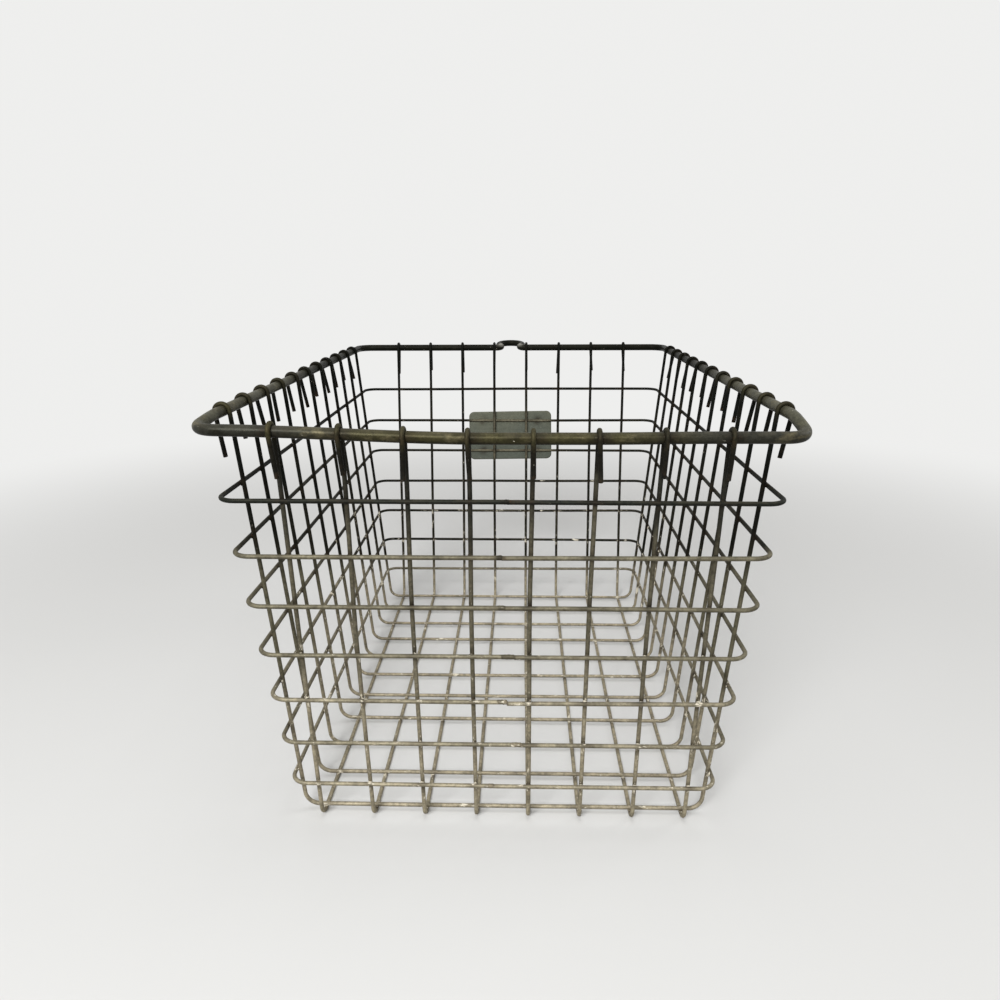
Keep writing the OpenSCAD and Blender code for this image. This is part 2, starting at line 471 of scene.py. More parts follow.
class Tree:
    """Shorthand for building a material's nodes."""

    def __init__(self, name):
        self.material = bpy.data.materials.new(name)
        self.material.use_nodes = True
        self.nodes = self.material.node_tree.nodes
        self.links = self.material.node_tree.links
        self.nodes.clear()
        self.shader = self.new("BsdfPrincipled")
        self.out = self.new("OutputMaterial")
        self.links.new(self.shader.outputs["BSDF"], self.out.inputs["Surface"])

    def new(self, kind):
        return self.nodes.new("ShaderNode" + kind)

    def put(self, socket, value):
        if isinstance(value, bpy.types.NodeSocket):
            self.links.new(value, socket)
        else:
            socket.default_value = value

    def math(self, kind, a, b=0.0, clamp=False):
        node = self.new("Math")
        node.operation = kind
        node.use_clamp = clamp
        self.put(node.inputs[0], a)
        self.put(node.inputs[1], b)
        return node.outputs[0]

    def times(self, a, b, clamp=False):
        return self.math("MULTIPLY", a, b, clamp)

    def plus(self, a, b, clamp=False):
        return self.math("ADD", a, b, clamp)

    def less(self, a, b, clamp=False):
        return self.math("SUBTRACT", a, b, clamp)

    def about_one(self, value, depth):
        """A factor that varies round 1 as the value goes from 0 to 1."""
        return self.plus(1 - depth / 2, self.times(value, depth))

    def noise(self, vector, scale, detail, rough, shift=0.0):
        node = self.new("TexNoise")
        node.noise_dimensions = "4D"
        self.put(node.inputs["Vector"], vector)
        self.put(node.inputs["W"], shift)
        node.inputs["Scale"].default_value = scale
        node.inputs["Detail"].default_value = detail
        node.inputs["Roughness"].default_value = rough
        return node.outputs["Fac"]

    def ramp(self, value, low, high):
        node = self.new("MapRange")
        node.interpolation_type = "SMOOTHSTEP"
        self.put(node.inputs["Value"], value)
        node.inputs["From Min"].default_value = low
        node.inputs["From Max"].default_value = high
        return node.outputs["Result"]

    def mix(self, share, a, b, kind="MIX"):
        node = self.new("Mix")
        node.data_type = "RGBA"
        node.blend_type = kind
        self.put(node.inputs[MIX_SHARE], share)
        self.put(node.inputs[MIX_FIRST], a)
        self.put(node.inputs[MIX_SECOND], b)
        return node.outputs[MIX_RESULT]

    def coat(self, base, where, most, tone):
        """The base with a tone over it, at most to the share given."""
        return self.mix(self.times(where, most), base, tone)

    def attribute(self, name, output="Fac"):
        node = self.new("Attribute")
        node.attribute_name = name
        return node.outputs[output]

    def axes(self, vector):
        node = self.new("SeparateXYZ")
        self.links.new(vector, node.inputs[0])
        return node.outputs

    def grey(self, value):
        node = self.new("CombineXYZ")
        for k in range(3):
            self.links.new(value, node.inputs[k])
        return node.outputs[0]

    def drawn_out(self, straight, share):
        """The wire pulled straight and squeezed to a share of its length, so that what is laid
        on it comes out long."""
        node = self.new("VectorMath")
        node.operation = "MULTIPLY"
        self.put(node.inputs[0], straight)
        self.put(node.inputs[1], (share, 1.0, 1.0))
        return node.outputs[0]


# The standard curve between display levels and light
CURVE_FOOT, CURVE_SLOPE = 0.04045, 12.92
CURVE_LIFT, CURVE_POWER = 0.055, 2.4


def rgb(*levels):
    """A colour written as 0 to 255 display levels, as the shader wants it."""
    def line(c):
        c /= 255
        if c <= CURVE_FOOT:
            return c / CURVE_SLOPE
        return ((c + CURVE_LIFT) / (1 + CURVE_LIFT)) ** CURVE_POWER
    return tuple(line(c) for c in levels) + (1.0,)


# Noises: scale in waves a metre, detail, roughness and, for some, a shift
BROAD = (38, 3, 0.55)
PATCHES = (150, 4, 0.6)
MOTTLE = (620, 5, 0.66)
GRAIN = (2600, 2, 0.6)
DRAWN = (2100, 3, 0.6)
SCUFFS = (230, 4, 0.62, 31.0)
SOOTS = (170, 4, 0.62, 37.0)
BURNS = (70, 2, 0.5, 9.0)
CLUMPS = (95, 2, 0.5, 21.0)
FLECKS = (620, 4, 0.72)
FLECK_SHIFT = 4.0
# How much each noise that follows the wire is squeezed along it
DRAWN_LENGTH, WORN_LENGTH, FLECK_LENGTH = 0.03, 0.5, 0.4
# Where a ramp starts and ends, on a noise or another measure from 0 to 1
# The two height ramps lay painted light and shade by height
LOW_HEIGHT_SHADE, HIGH_HEIGHT_SHADE = (0.15, 0.50), (0.64, 0.86)
SIDE_PATCHES, DIM_PATCHES = (0.44, 0.60), (0.47, 0.66)
DUST_PATCHES, GLINT_PATCHES = (0.35, 0.65), (0.38, 0.52)
SCUFF_EDGE, SOOT_EDGE, BURN_EDGE = (0.53, 0.68), (0.52, 0.68), (0.41, 0.55)
MOTTLE_EDGE, GRAIN_EDGE, STAIN_EDGE = (0.30, 0.70), (0.30, 0.70), (0.42, 0.62)
FACING_DOWN, FACING_UP = (0.0, 0.9), (0.15, 1.0)
BLOOM_LEVEL, CLUMP_EDGE, SPECK_EDGE = (0.15, 0.80), (0.62, 0.72), (0.66, 0.74)
# The same in metres: up to a hook, out to the rim's front corners, and back along its sides
HOOK_HEIGHT, RIM_ENDS_X, RIM_SIDES_Y = (0.178, 0.187), (0.035, 0.090), (-0.159, -0.150)
# Layers: the most of each that is laid on, and its tone
SCUFF = (0.4, rgb(116, 108, 82))
SOOT = (0.6, rgb(26, 24, 14))
# Painted shade under the rim
UNDERSIDE_SHADE = (0.65, rgb(22, 20, 11))
DUST = (0.12, rgb(132, 126, 106))
BURN = (0.8, rgb(28, 24, 20))
# Painted contact shade by the hooks
CONTACT_SHADE = (0.75, rgb(22, 20, 16))
SPECK = (0.9, rgb(226, 219, 200))
# Painted highlight on the eye's bends
GLINT = (0.85, rgb(168, 166, 156))
# Painted shade on the hooks and their tails
TAIL_SHADE_TONE = rgb(24, 23, 18)
# Painted shade behind the front wall
PAINTED_SHADE_TONE = rgb(15, 17, 14)
STAIN_TONE = rgb(60, 46, 33)
DIM_SHARE, DIM_TONE = 0.55, rgb(34, 30, 21)
# Partly wear, partly a painted highlight on the hooks' rounds
HOOK_TONE = rgb(60, 57, 38)
RIM_TONE = rgb(58, 55, 35)
RIM_END_TONE = rgb(47, 47, 41)
RIM_SIDE_TONE = rgb(86, 85, 70)
SIDE_PATCH_SHARE = 0.65
# How far the edge of the painted height shade and the pieces' tones vary
UNEVENNESS, RIM_UNEVENNESS, TONE_VARY = 0.4, 0.1, 0.08
# How strongly each texture shades the base
MOTTLE_DEPTH, DRAWN_DEPTH, GRAIN_DEPTH = 1.1, 0.5, 0.32
# How much of the sheen the painted shade takes, how strongly welds and cuts stain, and how likely
# specks are
SHADE_SHEEN_LOSS = 0.8
WELD_STAIN, CUT_STAIN = 0.5, 0.9
SPECK_CHANCE, WELD_SPECK_CHANCE, CLUMP_CHANCE = 0.055, 0.12, 0.17
# Sheen: specular level, metal, and what mottling, specks and soil do to roughness and metal
GLOSS, RIM_GLOSS = 0.3, 0.16
METAL, RIM_METAL = 0.55, 0.35
SPECULAR_TINT = (0.4, 0.4, 0.4, 1)
MOTTLE_ROUGH, SPECK_ROUGH, SOIL_ROUGH = 0.22, 0.25, 0.14
SPECK_METAL, SOIL_METAL = 0.5, 0.2
BUMP_STRENGTH, BUMP_DEPTH = 0.6, 0.00014
MOTTLE_BUMP, GRAIN_BUMP, DRAWN_BUMP, SPECK_BUMP = 0.6, 0.25, 0.35, 0.35


def aged_zinc(name, tones, mottling, specks, shine, hook_tone=None, end_tone=None, dulls=True):
    """Old zinc plate on steel, with its tones from the top down: painted shade that darkens with
    height and to the back, fine mottling and pits, pale bloom, brown stain and dark burns by the
    welds and cut ends, and the long streaks of drawn wire."""
    top, middle, bottom = tones
    t = Tree(name)
    coords = t.new("TexCoord").outputs["Object"]
    x, y, z = t.axes(coords)
    facing = t.axes(t.new("NewGeometry").outputs["Normal"])[2]
    tone = t.attribute("tone")
    weld = t.attribute("weld")
    straight = t.attribute("straight", "Vector")

    broad = t.noise(coords, *BROAD, tone)
    patches = t.noise(coords, *PATCHES, tone)
    mottle = t.noise(coords, *MOTTLE, tone)
    grain = t.noise(coords, *GRAIN)
    drawn = t.noise(t.drawn_out(straight, DRAWN_LENGTH), *DRAWN, tone)

    # Painted light and shade by height, uneven at its edge
    unevenness = t.times(t.less(broad, 0.5), UNEVENNESS)
    level = t.plus(t.math("DIVIDE", z, RIM_Z), unevenness)
    level = t.plus(level, t.times(tone, TONE_VARY))
    base = t.mix(t.ramp(level, *LOW_HEIGHT_SHADE), bottom, middle)
    base = t.mix(t.ramp(level, *HIGH_HEIGHT_SHADE), base, top)
    if hook_tone:
        # Painted shade darkens the hooks and their tails
        base = t.mix(t.ramp(z, *HOOK_HEIGHT), base, TAIL_SHADE_TONE)
        # The hook's round is lightened again, partly wear and partly a painted highlight
        base = t.mix(t.attribute("hook"), base, hook_tone)

    # The rim: greyer at its front corners and along its sides, scuffed and sooty, with painted
    # shade below
    if end_tone:
        aside = t.plus(t.math("ABSOLUTE", x), t.times(unevenness, RIM_UNEVENNESS))
        base = t.mix(t.ramp(aside, *RIM_ENDS_X), base, end_tone)
        side = t.coat(RIM_SIDE_TONE, t.ramp(patches, *SIDE_PATCHES), SIDE_PATCH_SHARE, top)
        base = t.mix(t.ramp(y, *RIM_SIDES_Y), base, side)
        worn = t.drawn_out(straight, WORN_LENGTH)
        base = t.coat(base, t.ramp(t.noise(worn, *SCUFFS), *SCUFF_EDGE), *SCUFF)
        base = t.coat(base, t.ramp(t.noise(worn, *SOOTS), *SOOT_EDGE), *SOOT)
        # Painted shade on the rim's underside
        base = t.coat(base, t.ramp(t.times(facing, -1.0), *FACING_DOWN), *UNDERSIDE_SHADE)

    # Painted shade, then dim patches and the fine textures
    share = t.times(t.attribute("dull"), t.plus(1.0, unevenness), True)
    base = t.mix(share, base, PAINTED_SHADE_TONE)
    kept = t.less(1.0, t.times(share, SHADE_SHEEN_LOSS))
    dim = t.mix(DIM_SHARE, base, DIM_TONE)
    base = t.mix(t.times(t.ramp(patches, *DIM_PATCHES), mottling), base, dim)
    shade = t.about_one(t.ramp(mottle, *MOTTLE_EDGE), MOTTLE_DEPTH * mottling)
    shade = t.times(shade, t.about_one(drawn, DRAWN_DEPTH))
    shade = t.times(shade, t.about_one(t.ramp(grain, *GRAIN_EDGE), GRAIN_DEPTH))
    base = t.mix(1.0, base, t.grey(shade), "MULTIPLY")

    # Dust and dull bloom lie on what faces up
    dust = t.times(t.ramp(facing, *FACING_UP), t.ramp(patches, *DUST_PATCHES))
    dust = t.times(dust, kept)
    base = t.coat(base, dust, *DUST)

    # Black burns and brown stain round the welds, rust on sheared ends, painted contact shade where
    # the hooks meet the rim
    burnt = t.times(weld, t.ramp(t.noise(coords, *BURNS), *BURN_EDGE))
    base = t.coat(base, burnt, *BURN)
    near = t.math("MAXIMUM", t.times(weld, WELD_STAIN), t.times(t.attribute("cut"), CUT_STAIN))
    stain = t.times(t.ramp(mottle, *STAIN_EDGE), near)
    base = t.mix(stain, base, STAIN_TONE)
    base = t.coat(base, t.attribute("grime"), *CONTACT_SHADE)

    # Pale specks: zinc bloom, thicker low down and by the welds
    low_down = t.less(1.0, t.ramp(level, *BLOOM_LEVEL))
    chance = t.times(low_down, t.plus(SPECK_CHANCE, t.times(weld, WELD_SPECK_CHANCE)))
    chance = t.times(chance, specks)
    flecks = t.noise(t.drawn_out(straight, FLECK_LENGTH), *FLECKS, t.plus(tone, FLECK_SHIFT))
    clumps = t.times(t.ramp(t.noise(coords, *CLUMPS), *CLUMP_EDGE), low_down)
    chance = t.plus(chance, t.times(clumps, CLUMP_CHANCE))
    speck = t.ramp(t.plus(flecks, chance), *SPECK_EDGE)
    base = t.coat(base, speck, *SPECK)

    # Painted highlight on the bends of the eye's neck
    eye_sheen = t.times(t.attribute("eye_glint"), t.ramp(patches, *GLINT_PATCHES))
    base = t.coat(base, eye_sheen, *GLINT)

    into = t.shader.inputs
    t.put(into["Base Color"], base)
    gloss = RIM_GLOSS if end_tone else GLOSS
    t.put(into["Specular IOR Level"], gloss)
    if dulls:
        t.put(into["Specular IOR Level"], t.times(kept, gloss))
    t.put(into["Specular Tint"], SPECULAR_TINT)
    soiled = t.plus(dust, stain)
    rough = t.plus(shine, t.times(mottle, MOTTLE_ROUGH))
    rough = t.plus(rough, t.times(speck, SPECK_ROUGH))
    t.put(into["Roughness"], t.plus(rough, t.times(soiled, SOIL_ROUGH), True))
    metal = t.times(kept, RIM_METAL if end_tone else METAL)
    metal = t.less(metal, t.times(speck, SPECK_METAL))
    t.put(into["Metallic"], t.less(metal, t.times(soiled, SOIL_METAL), True))

    height = t.plus(t.times(mottle, MOTTLE_BUMP), t.times(grain, GRAIN_BUMP))
    height = t.plus(height, t.times(drawn, DRAWN_BUMP))
    height = t.plus(height, t.times(speck, SPECK_BUMP))
    bump = t.new("Bump")
    bump.inputs["Strength"].default_value = BUMP_STRENGTH
    bump.inputs["Distance"].default_value = BUMP_DEPTH
    t.put(bump.inputs["Height"], height)
    t.put(into["Normal"], bump.outputs["Normal"])
    return t.material


long_finish = aged_zinc(
    "aged_long_wire", (rgb(44, 44, 38), rgb(100, 95, 79), rgb(158, 149, 127)),
    mottling=0.62, specks=1.0, shine=0.44, hook_tone=HOOK_TONE
)
cross_finish = aged_zinc(
    "aged_cross_wire", (rgb(32, 32, 27), rgb(98, 94, 77), rgb(154, 145, 124)),
    mottling=0.62, specks=1.0, shine=0.44, hook_tone=HOOK_TONE
)
ring_finish = aged_zinc(
    "aged_ring_wire", (rgb(30, 32, 27), rgb(107, 102, 85), rgb(150, 142, 121)),
    mottling=0.62, specks=1.0, shine=0.42
)
rim_finish = aged_zinc(
    "aged_rim_wire", (RIM_TONE, RIM_TONE, RIM_TONE),
    mottling=0.45, specks=0.2, shine=0.25, end_tone=RIM_END_TONE
)
weld_finish = aged_zinc(
    "weld_metal", (rgb(26, 26, 21), rgb(90, 85, 70), rgb(146, 136, 115)),
    mottling=0.6, specks=1.4, shine=0.46
)
plate_finish = aged_zinc(
    "aged_plate", (rgb(95, 96, 82), rgb(83, 87, 79), rgb(83, 87, 79)),
    mottling=0.2, specks=0.3, shine=0.44, dulls=False
)

# Painted contact shade by the hooks: how far along the rim it reaches, in wire diameters, and how
# it fades
CONTACT_HALF, CONTACT_FADE = 0.45, 0.0011
# Painted shade darkens what stands behind the front wall, above a line that falls from the
# front to the back
SHADE_LINE_Z = 0.142
SHADE_LINE_FALL = 0.41
SHADE_EDGE_FADE = 0.020
SHADE_START = 0.3
SHADE_MOST = 0.93
# The rings' sides and back get at least this much painted shade
RING_SHADE_LEAST = 0.25
FRONT_CLEARANCE = 0.003
# The wires before the plate stay clear of the painted shade, and so do the near halves of the
# rim's sides
PLATE_MARGIN, PLATE_FADE = 0.0005, 0.001
CLEAR_SHARE = 0.85
NEAR_TO, NEAR_FADE = 0.03, 0.10
RIM_BELOW, RIM_BELOW_FADE = 0.003, 0.0015
# How much each hook's round is lightened, partly wear and partly a painted highlight: all of
# them, those on the sides, and where the most lightened ones are
HOOK_SHEEN_WEAR, SIDE_SHEEN_WEAR = 0.25, 0.5
SIDE_SHEEN_WEAR_X, SIDE_SHEEN_WEAR_FADE = 0.112, 0.004
MOST_SHEEN_WEAR_X, MOST_SHEEN_WEAR_Y, MOST_SHEEN_WEAR_FADE = 0.05, -0.10, 0.03
HOOK_SPAN, HOOK_FADE = 1.1, 0.001
# The bends of the eye's neck that get a painted highlight, how far round them, and from what height
EYE_BEND_GLINT = (0.0085, 0.1625)
GLINT_R, GLINT_RISE = 0.0028, 0.0012


def by_the_hooks(points):
    """How near each point of the rim is to a hook, where painted contact shade darkens it."""
    near = np.zeros(len(points))
    for wall, places in WALLS:
        along, out = points[:, 1 - wall], points[:, wall]
        on_bar = np.abs(np.abs(out) - RIM_HALF[wall]) < RIM_D
        hooks = np.tile(np.array(places), (len(points), 1))
        if wall == ENDS:
            hooks += np.where(out[:, None] < 0, np.array(FRONT_DRIFT)[None, :], 0)
        gap = np.abs(along[:, None] - hooks).min(1)
        contact = np.exp(-np.clip(gap - WIRE_D * CONTACT_HALF, 0, None) / CONTACT_FADE)
        near = np.maximum(near, on_bar * contact)
    return near


def nearness(y):
    """1 near the front of the basket, falling to 0 just behind its middle."""
    return ease((NEAR_TO - y) / NEAR_FADE)


def dullness(points, on_ring):
    """How much painted shade darkens each point."""
    x, y, z = points.T
    line = SHADE_LINE_Z - SHADE_LINE_FALL * (y + RIM_HALF[ENDS])
    share = SHADE_MOST * ease((z - line) / SHADE_EDGE_FADE + SHADE_START)
    before_plate = ease((PLATE_W / 2 + PLATE_MARGIN - np.abs(x)) / PLATE_FADE) * (y > 0)
    before_plate *= ease((PLATE_H / 2 + PLATE_MARGIN - np.abs(z - PLATE_Z)) / PLATE_FADE)
    share *= 1 - CLEAR_SHARE * before_plate
    share *= 1 - CLEAR_SHARE * nearness(y) * ease((z - RIM_Z + RIM_BELOW) / RIM_BELOW_FADE)
    if on_ring:
        share = np.maximum(share, RING_SHADE_LEAST)
    front = -np.array([ring_half(ENDS, height) for height in z])
    return share * ease((y - front - FRONT_CLEARANCE) / RING_CORNER_R)


def over_rim(points):
    """How much each point of a floor wire belongs to the round of its hook, lightened partly by
    wear and partly by a painted highlight.
    """
    x, y, z = points.T
    lift = z + front_sag(x, y) - RIM_Z
    gap = np.hypot(np.abs(x) - RIM_HALF[SIDES], lift)
    gap = np.minimum(gap, np.hypot(np.abs(y) - RIM_HALF[ENDS], lift))
    most = ease((MOST_SHEEN_WEAR_X - x) / MOST_SHEEN_WEAR_FADE) * ease((MOST_SHEEN_WEAR_Y - y) / MOST_SHEEN_WEAR_FADE)
    worn = HOOK_SHEEN_WEAR + (1 - HOOK_SHEEN_WEAR) * most
    on_side = ease((np.abs(x) - SIDE_SHEEN_WEAR_X) / SIDE_SHEEN_WEAR_FADE)
    worn = np.maximum(worn, SIDE_SHEEN_WEAR * on_side * nearness(y))
    on_round = ease((HOOK_R + WIRE_D * HOOK_SPAN - gap) / HOOK_FADE)
    return worn * on_round * ease((lift + RIM_D / 2) / (RIM_D / 4))


def eye_glint(points):
    """How much painted highlight each point of the rim gets on the eye's bends."""
    x, y, z = points.T
    gap = np.hypot(np.abs(x) - EYE_BEND_GLINT[0], y - EYE_BEND_GLINT[1])
    return np.exp(-(gap / GLINT_R) ** 2) * ease((z - RIM_Z) / GLINT_RISE)


def finish_wire(node, drawn, material, tone):
    """Adds a drawn wire in place of its node."""
    mesh, straight, cut = drawn
    points = points_of(mesh)
    on_ring = node.startswith("ring")
    grime = 0
    if node == "rim":
        grime = by_the_hooks(points)
        write(mesh, "eye_glint", eye_glint(points))
    elif not on_ring:
        write(mesh, "hook", over_rim(points))
    dull = dullness(points, on_ring)
    write_marks(mesh, straight, cut=cut, grime=grime, weld=heat(points), dull=dull, tone=tone)
    add_piece(node + "_drawn", mesh, material, node)


# The floor wires. Each kind of piece has its own seeds.
THIN_SIDES, RIM_SIDES = 14, 28
LONG_SEED, CROSS_SEED, RING_SEED = 100, 200, 300
FLOOR_WELD_SEED, RIM_WELD_SEED, RING_WELD_SEED, BEAD_SEED = 500, 501, 510, 600
# Most tilt of a wire's sheared ends, in radians
CUT_TILT, RING_CUT_TILT = 0.15, 0.1


def floor_wires(kind, wall, places, seed, normal, material):
    for number, place in enumerate(places, 1):
        rng = np.random.default_rng(seed + number)
        node = "%s_%d" % (kind, number)
        path = hooked_wire(wall, number, place, rng)
        tilt = rng.uniform(-CUT_TILT, CUT_TILT)
        drawn = tube(node + "_drawn", path, WIRE_D / 2, THIN_SIDES, False, normal, tilt)
        finish_wire(node, drawn, material, rng.uniform(-1, 1))


floor_wires("long_wire", ENDS, long_x, LONG_SEED, (1, 0, 0), long_finish)
floor_wires("cross_wire", SIDES, cross_y, CROSS_SEED, (0, 1, 0), cross_finish)

# Where each ring's ends are butted together on the front wall, and how far they miss each other
RING_JOINTS = {1: (0.004, 0.00005), 2: (0.001, 0.0001), 3: (0.002, 0.0001), 4: (0.006, 0.00012),
               5: (0.0028, 0.0004), 6: (0.009, 0.00012), 7: (-0.004, 0.00008)}
MISS_FADE = 0.02
RING_WANDER, RING_WAVE = 0.00035, 0.55
# Length of the weld bead over each ring's joint
BEAD_LENGTH = {1: 0.0026, 2: 0.003, 3: 0.0042, 4: 0.0075, 5: 0.0058, 6: 0.006, 7: 0.003}


def ring_path(number, rng):
    z = ring_z(number)
    half_w, half_d = ring_half(SIDES, z), ring_half(ENDS, z)
    joint, miss = RING_JOINTS[number]
    corner = (math.pi / 2, RING_CORNER_R)
    flat = np.array(laid(
        [
            (half_w - RING_CORNER_R - joint,) + corner,
            (2 * (half_d - RING_CORNER_R),) + corner,
            (2 * (half_w - RING_CORNER_R),) + corner,
            (2 * (half_d - RING_CORNER_R),) + corner,
            (half_w - RING_CORNER_R + joint, 0, 0),
        ],
        start=(joint, -half_d),
    ))
    s = run_of(flat)
    rise = wobble(rng, s, RING_WANDER, RING_WAVE)
    rise += (rise[0] - rise[-1]) * s / s[-1]
    rise += miss * (np.exp(-(s[-1] - s) / MISS_FADE) - np.exp(-s / MISS_FADE))
    return np.column_stack([flat, z + rise])


ring_ends = {}
for number in range(1, RINGS + 1):
    rng = np.random.default_rng(RING_SEED + number)
    path = ring_path(number, rng)
    ring_ends[number] = (path[-1], path[0])
    node = "ring_%d" % number
    tilt = rng.uniform(-RING_CUT_TILT, RING_CUT_TILT)
    drawn = tube(node + "_drawn", path, WIRE_D / 2, THIN_SIDES, False, (0, 0, 1), tilt)
    finish_wire(node, drawn, ring_finish, rng.uniform(-1, 1))

# The rim: one thick wire with its corners and the padlock eye, whose bends follow each other
# with no straight between them
NO_STRAIGHT = 1e-6
SAME_PLACE = 1e-5
RIM_TONE_SHIFT = 0.2
EYE_HALF = (EYE_NECK + RIM_D) / 2 + EYE_BEND_R
EYE_CLOSE = math.acos(EYE_HALF / (EYE_R + EYE_BEND_R))
corner = (math.pi / 2, RIM_CORNER_R)
half_w, half_d = RIM_HALF
flat = np.array(laid(
    [
        (half_w - RIM_CORNER_R,) + corner,
        (2 * (half_d - RIM_CORNER_R),) + corner,
        (half_w - RIM_CORNER_R - EYE_HALF, -(math.pi / 2 + EYE_CLOSE), EYE_BEND_R),
        (NO_STRAIGHT, math.pi + 2 * EYE_CLOSE, EYE_R),
        (NO_STRAIGHT, -(math.pi / 2 + EYE_CLOSE), EYE_BEND_R),
        (half_w - RIM_CORNER_R - EYE_HALF,) + corner,
        (2 * (half_d - RIM_CORNER_R),) + corner,
        (half_w - RIM_CORNER_R, 0, 0),
    ],
    start=(0.0, -half_d),
))[:-1]
flat = flat[np.concatenate([[True], np.linalg.norm(np.diff(flat, axis=0), axis=1) > SAME_PLACE])]
beyond = np.clip(flat[:, 1] - half_d, 0, None)
tilt = math.radians(EYE_TILT)
path = np.column_stack([
    flat[:, 0],
    flat[:, 1] - beyond * (1 - math.cos(tilt)),
    RIM_Z + beyond * math.sin(tilt),
])
path[:, 2] -= front_sag(path[:, 0], path[:, 1])
drawn = tube("rim_drawn", path, RIM_D / 2, RIM_SIDES, True, (0, 0, 1))
finish_wire("rim", drawn, rim_finish, RIM_TONE_SHIFT)

# Weld metal: half the width and thickness of the lumps, how these vary, and their marks
LUMP_SIZE, RIM_LUMP_SIZE = (0.00118, 0.00062), (0.00120, 0.00055)
LUMP_WIDTHS, LUMP_THICKNESSES = (0.85, 1.15), (0.85, 1.1)
LUMP_HEAT, BEAD_HEAT = 0.9, 0.3
# The bead over a ring's joint: sides, step along it, its share left of the joint, the length of
# the step in the ring there, its thinnest and how much it swells and roughens
BEAD_SIDES, BEAD_STEP, BEAD_LEAST_STEPS = 18, 0.00035, 10
BEAD_LEFT, JOINT_STEP = 0.82, 0.0006
BEAD_THIN, BEAD_SWELL, BEAD_ROUGH = 0.90, 0.19, 0.09
# Its bumps: share, and length along the wire
BEAD_RIPPLE, BEAD_OVAL, BEAD_CLOVER = (0.45, 0.0019), (0.30, 0.0031), (0.25, 0.0012)
RIPPLE_SKEW = 1.6


def weld_piece(group, size, seed):
    """The lumps of weld metal at one group of welds, as one piece."""
    name = "welds_" + group
    half_width, half_thick = size
    rng = np.random.default_rng(seed)
    lumps = []
    for centre, axis in welds[group]:
        wider = rng.uniform(*LUMP_WIDTHS)
        thicker = rng.uniform(*LUMP_THICKNESSES)
        lumps.append((centre, axis, half_width * wider, half_thick * thicker))
    verts, faces = lump_mesh(rng, lumps)
    mesh = mesh_of(name, verts, faces)
    points = points_of(mesh)
    dull = dullness(points, group.startswith("ring"))
    tone = np.repeat(rng.uniform(-1, 1, len(lumps)), len(verts) // len(lumps))
    write_marks(mesh, points, weld=LUMP_HEAT, dull=dull, tone=tone)
    add_piece(name, mesh, weld_finish)


def ring_bead(number, left, right, length):
    """The rough bead where a ring's two ends are butt-welded, mostly to the left of the step
    between them."""
    rng = np.random.default_rng(BEAD_SEED + number)
    name = "ring_%d_bead" % number
    around, count = BEAD_SIDES, max(BEAD_LEAST_STEPS, round(length / BEAD_STEP))
    waves = rng.uniform(0, 2 * math.pi, 6)
    verts, straight = [], []
    for i in range(count + 1):
        share = i / count
        x = left[0] + length * (share - BEAD_LEFT)
        middle = left + (right - left) * ease((x - left[0]) / JOINT_STEP + 0.5)
        taper = math.sqrt(max(0.0, math.sin(math.pi * share)))
        along = 2 * math.pi * x
        for k in range(around):
            a = 2 * math.pi * k / around
            skew = RIPPLE_SKEW * math.sin(a + waves[0])
            bump = BEAD_RIPPLE[0] * math.sin(along / BEAD_RIPPLE[1] + skew + waves[1])
            bump += BEAD_OVAL[0] * math.sin(2 * a + along / BEAD_OVAL[1] + waves[2])
            bump += BEAD_CLOVER[0] * math.sin(3 * a + along / BEAD_CLOVER[1] + waves[3])
            r = WIRE_D / 2 * (BEAD_THIN + taper * (BEAD_SWELL + BEAD_ROUGH * bump))
            verts.append((x, middle[1] + r * math.sin(a), middle[2] + r * math.cos(a)))
            straight.append((x, WIRE_D / 2 * math.cos(a), WIRE_D / 2 * math.sin(a)))
    mesh = mesh_of(name, verts, skin(count + 1, around))
    write_marks(mesh, straight, weld=BEAD_HEAT, tone=rng.uniform(-1, 1))
    add_piece(name, mesh, weld_finish)


for number, (left, right) in ring_ends.items():
    ring_bead(number, left, right, BEAD_LENGTH[number])
weld_piece("floor", LUMP_SIZE, FLOOR_WELD_SEED)
weld_piece("rim", RIM_LUMP_SIZE, RIM_WELD_SEED)
for number in range(1, RINGS + 1):
    weld_piece("ring_%d" % number, LUMP_SIZE, RING_WELD_SEED + number)

# The number plate: how askew it sits in degrees, its softened edge, and the steps of its outline
PLATE_TWIST = 0.9
PLATE_EDGE, PLATE_LEAST_R = 0.00028, 0.0006
CORNER_STEPS, LONG_STEPS, SHORT_STEPS, EDGE_STEPS = 8, 30, 18, 4
# The innermost loop's half height, and the step from one loop to the next
PLATE_CORE, PLATE_STEP = 0.0008, 0.00095
# Its crown, and the spot welds: their place, and the depth and radius of dimple, lip and halo
PLATE_CROWN = 0.00012
SPOT_X = 0.0215
DIMPLE_DEPTH, DIMPLE_R = 0.00022, 0.0017
LIP_HEIGHT, LIP_R, LIP_WIDTH = 0.00005, 0.0024, 0.0006
HALO_R = 0.0032
EDGE_WEAR, EDGE_WEAR_FADE = 0.6, 0.0004
PLATE_TONE_SHIFT = 0.3


